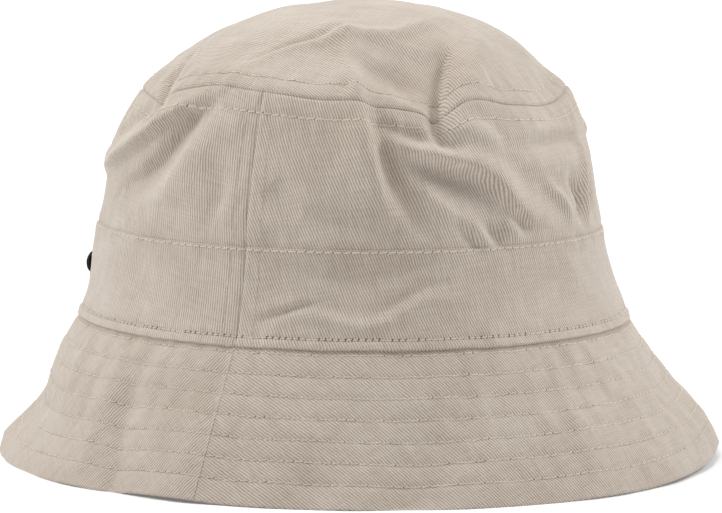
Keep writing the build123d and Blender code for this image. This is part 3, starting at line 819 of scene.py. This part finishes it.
add_camera()
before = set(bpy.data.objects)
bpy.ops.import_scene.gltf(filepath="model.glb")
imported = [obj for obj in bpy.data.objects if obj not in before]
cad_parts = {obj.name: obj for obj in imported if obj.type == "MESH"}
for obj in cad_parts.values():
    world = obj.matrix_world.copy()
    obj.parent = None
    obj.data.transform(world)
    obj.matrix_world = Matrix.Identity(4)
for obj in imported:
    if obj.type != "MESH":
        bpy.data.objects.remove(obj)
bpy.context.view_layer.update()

LIGHT, DARK = rgb(211, 201, 191), rgb(144, 127, 109)
TWILL = twill("twill", 15.0, LIGHT, DARK)
TWILL_TIP = twill("twill_tip", -26.0, LIGHT, DARK)
LINING = plain_weave("sweatband_cloth", rgb(206, 193, 175), rgb(168, 150, 129))
TAPE_CLOTH = plain_weave("seam_tape", rgb(214, 203, 187), rgb(172, 156, 137), 0.0009)
WADDING = plain_weave("interlining", rgb(236, 234, 228), rgb(206, 203, 196), 0.0012)
THREAD = thread_material("thread", rgb(228, 218, 204), rgb(178, 163, 146))
SEAM_THREAD = thread_material("seam_thread", rgb(204, 192, 178), rgb(160, 145, 126))
# A flat dark colour: painted shade, standing in for the shadow inside each needle hole.
HOLE_SHADE = flat_colour("painted_hole_shade", rgb(92, 76, 60))
WOVEN = plain_weave("dark_woven", rgb(74, 68, 54), rgb(34, 31, 25), 0.0005)
WHITE, INK = rgb(240, 238, 234), rgb(60, 58, 56)
CARE_LINES = [(0.006 + 0.0026 * k, 0.0072 + 0.0026 * k, 0.011) for k in range(7)]
SATIN = printed_satin("printed_satin", WHITE, INK, [*CARE_LINES, (0.028, 0.031, 0.008)])
SIZE_SATIN = printed_satin("printed_satin_size", WHITE, INK, [(0.003, 0.009, 0.003)])


def place(piece, node, body="hat"):
    """The piece stands for its CAD node and rides its body."""
    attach(piece, body)
    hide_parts(node)
    return piece


def sewn(name, rows):
    """Rows of stitches as one piece, which stands for its CAD node."""
    with bpy.context.temp_override(active_object=rows[0], selected_editable_objects=rows):
        bpy.ops.object.join()
    rows[0].name = name
    place(rows[0], name)


def half_rings(name, section, spread, material):
    """The front and back halves of a ring of cloth, meeting at the two side seams."""
    foot = section[:, 0].max()
    for side, middle in (("front", FRONT), ("back", BACK)):
        pattern = cut_as_arc(foot, spread)
        piece = lathe(f"{name}_{side}", section, middle, 179.92, pattern, [material])
        place(piece, f"{name}_{side}")


def add_tip():
    """The tip: a disc of cloth, its edge turned in along the crown seam."""
    foot = CROWN_Z + 0.1
    share, angle = lattice_disc(TIP_RINGS)
    low = float(TIP.angle(foot))
    rise = math.pi / 2 - share * (math.pi / 2 - low)
    layers = []
    for inset in (0.0, CLOTH):
        flat = TIP.at(rise, inset)
        layers.append(spun(flat[:, 0], flat[:, 1], angle))
    hem = outline(
        (TIP, 0.0, foot + 0.05, foot, 1.0),
        "fold",
        (TIP, PITCH + CLOTH, foot, CROWN_Z + CROWN_ALLOWANCE, 1.2),
        (TIP, PITCH, CROWN_Z + CROWN_ALLOWANCE, foot + CLOTH, 1.2),
    )[2:]
    rim, size = disc_rim(TIP_RINGS), len(share)
    a = angle[rim]
    turned = spun(hem[:, 0], hem[:, 1], a[:, None])
    band = 2 * size + np.arange(turned[..., 0].size).reshape(len(a), -1)
    columns = np.concatenate([rim[:, None], band, size + rim[:, None]], 1)
    edge = corners(np.concatenate([columns, columns[:1]]).T).reshape(-1, 4)
    disc = corners(np.arange(size).reshape(2 * TIP_RINGS + 1, -1)).reshape(-1, 4)
    points = np.concatenate([*layers, turned.reshape(-1, 3)])
    reach = TIP_HALF_WIDTH * 1.02 * np.concatenate([share, share, np.ones(turned[..., 0].size)])
    turns = np.concatenate([angle, angle, np.repeat(a, len(hem))])
    reach[2 * size :] += np.tile(np.arange(1, len(hem) + 1) * 1.0, len(a))
    flat = np.stack([reach * np.cos(turns), reach * np.sin(turns)], 1)
    faces = np.concatenate([disc, size + disc[:, ::-1], edge])
    piece = add_mesh("crown_tip", points, [faces], [flat[faces]], [TWILL_TIP])
    place(piece, "crown_tip")
    wide = 2 * (TIP_HALF_WIDTH + CROWN_ALLOWANCE) * MM
    flat = (wide * STRETCH_X, wide * STRETCH_Y)


def add_side_crown():
    foot = BAND_Z + 0.1
    section = outline(
        (SIDE, 0.0, foot, CROWN_Z, 0.8),
        "fold",
        (SIDE, PITCH + CLOTH, CROWN_Z, CROWN_Z - CROWN_ALLOWANCE, 1.4),
        (SIDE, PITCH, CROWN_Z - CROWN_ALLOWANCE, CROWN_Z - CLOTH, 1.4),
        (SIDE, CLOTH, CROWN_Z - CLOTH, foot + CLOTH, 1.4),
        (BAND_SEAM[0] - 2 * PITCH - CLOTH, foot + CLOTH),
        (BAND, 2 * PITCH + CLOTH, BAND_Z, BAND_Z - BAND_ALLOWANCE, 1.4),
        (BAND, 2 * PITCH, BAND_Z - BAND_ALLOWANCE, BAND_Z, 1.4),
        (BAND_SEAM[0] - 2 * PITCH, foot),
    )
    half_rings("side_crown", section, 12.0, TWILL)


def add_band():
    section = outline(
        (BAND, 0.0, HEAD_Z, BAND_Z, 0.7),
        "fold",
        (BAND, PITCH + CLOTH, BAND_Z, BAND_Z - BAND_ALLOWANCE, 1.4),
        (BAND, PITCH, BAND_Z - BAND_ALLOWANCE, BAND_Z - CLOTH, 1.4),
        (BAND, CLOTH, BAND_Z - CLOTH, HEAD_Z + CLOTH, 1.6),
        (BAND, PITCH, HEAD_Z + CLOTH, HEAD_Z + HEAD_ALLOWANCE, 1.4),
        (BAND, PITCH + CLOTH, HEAD_Z + HEAD_ALLOWANCE, HEAD_Z, 1.4),
        "fold",
    )
    half_rings("hat_band", section, 12.0, TWILL)


def add_brim():
    top, lip = HEAD_Z - 0.1, 1.0
    upper_in, under_in = BAND_FOOT[0] - 2 * PITCH, BAND_FOOT[0] - 3 * PITCH
    turn_up = HEAD_Z, HEAD_Z + HEAD_ALLOWANCE
    upper = outline(
        (BRIM, 0.0, LIP, top, 0.75),
        (upper_in, top),
        (BAND, 2 * PITCH, *turn_up, 1.6),
        (BAND, 2 * PITCH + CLOTH, *reversed(turn_up), 1.6),
        (upper_in - CLOTH, top - CLOTH),
        (BRIM, BRIM_CLOTH, top - CLOTH, LIP, 1.5),
        "fold",
    )
    half_rings("brim_upper", upper, 47.0, TWILL)
    under = outline(
        (BRIM, BRIM_CLOTH + 0.1, LIP, lip, 1.0),
        (BRIM, 2 * BRIM_PITCH, lip, top - CLOTH, 1.5),
        (under_in, top - CLOTH),
        (BAND, 3 * PITCH, *turn_up, 1.6),
        (BAND, 3 * PITCH + CLOTH, *reversed(turn_up), 1.6),
        (under_in - CLOTH, top),
        (BRIM, 2 * BRIM_PITCH + BRIM_CLOTH, top, LIP, 0.75),
        "fold",
    )
    half_rings("brim_under", under, 47.0, TWILL)
    middle = outline(
        (BRIM, BRIM_PITCH, INTERLINING_FROM, INTERLINING_TO, 2.5),
        (BRIM, BRIM_PITCH + BRIM_CLOTH, INTERLINING_TO, INTERLINING_FROM, 2.5),
    )
    half_rings("brim_interlining", middle, 47.0, WADDING)


def strip(name, section, middle, arc, radius, material, columns=None):
    """A strip cut straight, of that flat size in millimetres."""
    piece = lathe(name, section, middle, arc, straight(radius), [material], columns)
    place(piece, name)


def add_linings():
    """The sweatband and the tapes, inside the crown."""
    outer, inner = SWEATBAND_INSET, SWEATBAND_INSET + CLOTH
    section = outline(
        (BAND, outer, HEAD_Z + 0.1, BAND_Z, 1.4),
        (BAND_SEAM[0] - outer, SWEATBAND_TOP),
        "fold",
        (BAND_SEAM[0] - inner, SWEATBAND_TOP),
        (BAND, inner, BAND_Z, HEAD_Z + 0.1, 0.8),
    )
    strip("sweatband", section, FRONT, 359.9, 90.0, LINING)
    low, high = CROWN_Z - TAPE_REACH, CROWN_Z + TAPE_REACH * 0.85
    section = outline(
        (SIDE, SIDE_TAPE_FACES[0], low, CROWN_Z, 1.4),
        (TIP, TIP_TAPE_FACES[0], CROWN_Z + 0.3, high, 1.4),
        (TIP, TIP_TAPE_FACES[1], high, CROWN_Z + 0.3, 0.9),
        (SIDE, SIDE_TAPE_FACES[1], CROWN_Z, low, 0.9),
    )
    strip("crown_seam_tape", section, FRONT, 360, 72.0, TAPE_CLOTH)
    ends = SWEATBAND_TOP + 1, low - 1
    section = outline((SIDE, PITCH, *ends, 1.4), (SIDE, PITCH + TAPE, *reversed(ends), 0.9))
    arc = math.degrees(SIDE_TAPE_WIDTH / 83.9)
    for side, middle in (("left", LEFT), ("right", RIGHT)):
        name = f"side_seam_tape_{side}"
        strip(name, section, middle, arc, 83.0, TAPE_CLOTH, 16)


def strand(name, radius, z):
    """A hidden row of thread, as a plain ring."""
    section = np.stack([radius + THREAD_R * np.cos(HEXAGON), z + THREAD_R * np.sin(HEXAGON)], 1)
    piece = lathe(name, section, 0.0, 360, straight(radius), [THREAD])
    place(piece, name)


def add_hidden_threads():
    top = HEAD_Z - 0.1 - CLOTH
    inset = BRIM_PITCH + BRIM_CLOTH / 2
    seam_z = (INTERLINING_TO + top) / 2
    for name, z in (("brim_edge_thread", EDGE_THREAD_Z), ("head_seam_thread", seam_z)):
        strand(name, float(BRIM.radius(z, inset)), z)
    clear = THREAD_R + PITCH - CLOTH
    strand("crown_seam_thread", float(TIP.radius(CROWN_Z, TIP_TAPE)) + clear, CROWN_Z)
    strand("band_seam_thread", BAND_SEAM[0] - SWEATBAND_INSET + clear, BAND_Z)


def add_rows():
    """Every row of stitching that runs right round the hat."""
    materials = [THREAD, HOLE_SHADE]
    under = 2 * BRIM_PITCH + BRIM_CLOTH
    rows = [(f"brim_stitch_row_{n + 1}", BRIM, z, under) for n, z in enumerate(row_heights())]
    rows.append(("crown_stitch_upper", TIP, CROWN_Z + CROWN_ROW * 0.85, TIP_TAPE_FACES[1]))
    rows.append(("crown_stitch_lower", SIDE, CROWN_Z - CROWN_ROW, SIDE_TAPE_FACES[1]))
    rows.append(("band_stitch_upper", BAND, BAND_Z - BAND_UPPER_ROW, SWEATBAND_INSET + CLOTH))
    rows.append(("band_stitch_lower", BAND, HEAD_Z + BAND_LOWER_ROW, SWEATBAND_INSET + CLOTH))
    for name, curve, z, inside in rows:
        length, hole = (FOOT_STITCH, FOOT_HOLE) if name == "band_stitch_lower" else (STITCH, HOLE)
        sewn(name, list(row_of_stitches(name, curve, z, inside, materials, length, hole)))


def upright_holes(curve, inset, low, high, azimuth):
    count = round((high - low) / STITCH)
    z = np.linspace(low, high, count + 1)
    a = math.radians(azimuth) + rng.normal(0, 0.0004, count + 1)
    r = curve.radius(z, inset)
    return spun(r, z, a)


def add_side_seam_stitches():
    band_ends = HEAD_Z + BAND_LOWER_ROW + 1.0, BAND_Z - BAND_UPPER_ROW - 1.0
    crown_ends = SWEATBAND_TOP + 1.5, CROWN_Z - TAPE_REACH - 1.5
    for side, middle in (("left", LEFT), ("right", RIGHT)):
        made = []
        for turn in (-1, 1):
            azimuth = middle + turn * math.degrees(SIDE_ROW / CROWN_BELLY[0])
            for curve, inset, ends, way in (
                (BAND, 0.0, band_ends, 1),
                (SIDE, 0.0, crown_ends, 1),
                (SIDE, PITCH + TAPE, crown_ends, -1),
            ):
                holes = upright_holes(curve, inset, *ends, azimuth)
                out = way * outward(holes)
                made.append(stitch_mesh("row", holes, out, [SEAM_THREAD, HOLE_SHADE], *SIDE_SEAM_ROW))
        sewn(f"side_seam_stitches_{side}", made)


def wall_label(name, size, z, side, inset, bow, material):
    """A woven label sewn along its two long edges, its middle standing off the cloth by bow."""
    width, height, thick = size
    heights = np.linspace(z - height / 2, z + height / 2, 25)
    middle = np.clip(1 - ((heights - z) / (height / 2 - 1.3)) ** 2, 0, 1) ** 0.7
    out = 1 if inset < 0 else -1
    front = BAND.radius(heights, inset) + out * bow * middle
    back = np.stack([front - thick, heights], 1)
    section = np.concatenate([np.stack([front, heights], 1), back[::-1]])
    arc = math.degrees(width / (BAND.radius(z) * STRETCH_X**2 / STRETCH_Y))
    strip(name, section, side, arc, 90.0, material, 90)
    made = []
    for row_z in (z - height / 2 + 1.0, z + height / 2 - 1.0):
        r = float(BAND.radius(row_z, inset if out > 0 else inset + thick))
        holes = ring_holes(r, row_z, side, arc * 0.96)
        made.append(stitch_mesh("row", holes, out * outward(holes), [THREAD, HOLE_SHADE], *LABEL_ROW))
    sewn(f"{name}_stitches", made)


def leaf(name, size, side, body, material, curl):
    """A ribbon label hanging from its top edge, curling a little clear of the sweatband."""
    low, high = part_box(name)
    middle = (low + high) / 2
    width, height, thick = size
    u, v = np.meshgrid(np.linspace(-0.5, 0.5, 13), np.linspace(0, 1, 25), indexing="ij")
    inwards = curl * v**2 + 0.5 * v * (2 * u) ** 2
    sheets = [np.stack([lift - inwards, u * width, -v * height], -1) for lift in (thick / 2, -thick / 2)]
    index = np.arange(u.size).reshape(u.shape)
    quads = corners(index).reshape(-1, 4)
    rim = np.concatenate([index[:-1, 0], index[-1, :-1], index[:0:-1, -1], index[0, :0:-1]])
    beside = np.roll(rim, -1)
    edge = np.stack([rim, beside, beside + u.size, rim + u.size], 1)
    faces = np.concatenate([quads[:, ::-1], quads + u.size, edge])
    cos, sin = math.cos(math.radians(side)), math.sin(math.radians(side))
    turned = np.concatenate(sheets).reshape(-1, 3) @ [[cos, sin, 0], [-sin, cos, 0], [0, 0, 1]]
    world = turned + np.array([middle.x, middle.y, high.z]) / MM
    flat = np.tile(np.stack([u * width, (1 - v) * height], -1).reshape(-1, 2), (2, 1))
    piece = add_mesh(name, world, [faces], [flat[faces]], [material], shape=np.array)
    place(piece, name, body)


def add_labels():
    wall_label("front_label", FRONT_LABEL, FRONT_LABEL_Z, FRONT, -0.7, 1.7, WOVEN)
    inset = SWEATBAND_INSET + PITCH
    wall_label("main_label", MAIN_LABEL, MAIN_LABEL_Z, BACK, inset, 0.0, WOVEN)
    leaf("care_label", CARE_LEAF, LEFT, "care_label_leaf", SATIN, 2.0)
    leaf("size_tab", SIZE_TAB, BACK, "size_tab_leaf", SIZE_SATIN, 0.6)


# ---- light and floor


def add_light(name, at, size, watts):
    data = bpy.data.lights.new(name, "AREA")
    data.shape, data.size, data.energy = "DISK", size, watts
    light = bpy.data.objects.new(name, data)
    light.location = at
    face(light, Vector((0, 0, LAMP_AIM_HEIGHT)))
    bpy.context.scene.collection.objects.link(light)


def floor_material():
    """White paper, which glows a little further off, where the lamps don't reach."""
    n = Nodes("floor")
    reach = n.node("ShaderNodeVectorMath", {0: n.position()}, operation="LENGTH").outputs["Value"]
    n.shade({"Base Color": (0.82, 0.82, 0.82, 1), "Roughness": 0.9, "Emission Color": (1, 1, 1, 1)})
    n.shade({"Emission Strength": n.ramp(reach, 0.2, 2.0, 0.12, 0.55)})
    return n.material


def add_studio():
    """A pale floor, a white surround that is dimmer on the camera's side, and soft lamps."""
    scene = bpy.context.scene
    scene.view_settings.view_transform = "Standard"
    away = Vector((scene.camera.location.x, scene.camera.location.y, 0)).normalized()
    scene.world = bpy.data.worlds.new("studio")
    n = Nodes("studio", scene.world)
    way = n.node("ShaderNodeTexCoord").outputs["Generated"]
    strength = n.ramp(n.dot(way, away), -0.4, 0.5, WORLD_FAR, WORLD_NEAR)
    n.shade({"Color": (1, 1, 1, 1), "Strength": strength})
    mesh = bpy.data.meshes.new("floor")
    square = [(-FLOOR, -FLOOR, 0), (FLOOR, -FLOOR, 0), (FLOOR, FLOOR, 0), (-FLOOR, FLOOR, 0)]
    mesh.from_pydata(square, [], [(0, 1, 2, 3)])
    floor = bpy.data.objects.new("floor", mesh)
    mesh.materials.append(floor_material())
    scene.collection.objects.link(floor)
    for name, (right, near, height, size, watts) in LAMPS.items():
        at = right_of(away) * right + away * near + Vector((0, 0, height))
        add_light(name, at, size, watts)


add_tip()
add_side_crown()
add_band()
add_brim()
add_linings()
add_hidden_threads()
add_rows()
add_side_seam_stitches()
add_labels()
add_studio()
